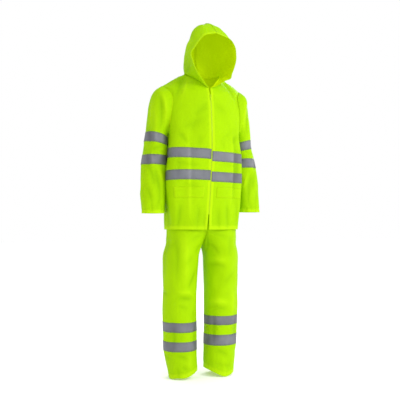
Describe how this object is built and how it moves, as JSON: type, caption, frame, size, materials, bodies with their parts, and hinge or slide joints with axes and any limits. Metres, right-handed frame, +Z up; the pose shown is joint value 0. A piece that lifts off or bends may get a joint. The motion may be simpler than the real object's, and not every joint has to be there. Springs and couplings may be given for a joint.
{
  "type": "hooded rain jacket and trousers set",
  "caption": "Hi-vis rain suit, hollow as worn: hooded zip jacket with sleeves and straight trousers, reflective tapes round body, sleeves and legs.",
  "frame": {"origin": "base of the neck midway between the shoulders, where the wearer's shoulders carry the jacket", "axes": "+Z up the wearer, -Y the way the wearer faces, +X to the wearer's left"},
  "size_m": [0.6464, 0.2875, 1.8238],
  "materials": {
    "lime_cloth": "coated fluorescent yellow-green cloth, fine plain weave, slight sheen",
    "reflective_tape": "grey glass-bead reflective tape, satin",
    "zip_plastic": "moulded yellow-green plastic"
  },
  "bodies": {
    "suit": {"jacket_front_right": "lime_cloth", "jacket_front_left": "lime_cloth", "jacket_back": "lime_cloth", "sleeve_right": "lime_cloth", "sleeve_left": "lime_cloth", "hood_right": "lime_cloth", "hood_left": "lime_cloth", "pocket_flap_right": "lime_cloth", "pocket_flap_left": "lime_cloth", "trouser_front_right": "lime_cloth", "trouser_front_left": "lime_cloth", "trouser_back_right": "lime_cloth", "trouser_back_left": "lime_cloth", "trouser_waistband": "lime_cloth", "tape_body_upper": "reflective_tape", "tape_body_lower": "reflective_tape", "tape_sleeve_upper_right": "reflective_tape", "tape_sleeve_lower_right": "reflective_tape", "tape_sleeve_upper_left": "reflective_tape", "tape_sleeve_lower_left": "reflective_tape", "tape_leg_upper_right": "reflective_tape", "tape_leg_lower_right": "reflective_tape", "tape_leg_upper_left": "reflective_tape", "tape_leg_lower_left": "reflective_tape", "zip_half_right": "zip_plastic", "zip_half_left": "zip_plastic", "zip_slider": "zip_plastic"},
    "pull_tab": {"zip_pull_tab": "zip_plastic"}
  },
  "joints": [
    {"name": "pull_tab_flip", "type": "hinge", "parent": "suit", "child": "pull_tab", "pos_m": [0, -0.13287, -0.10779], "axis": [-1, 0, 0], "range_deg": [0, 150]}
  ]
}
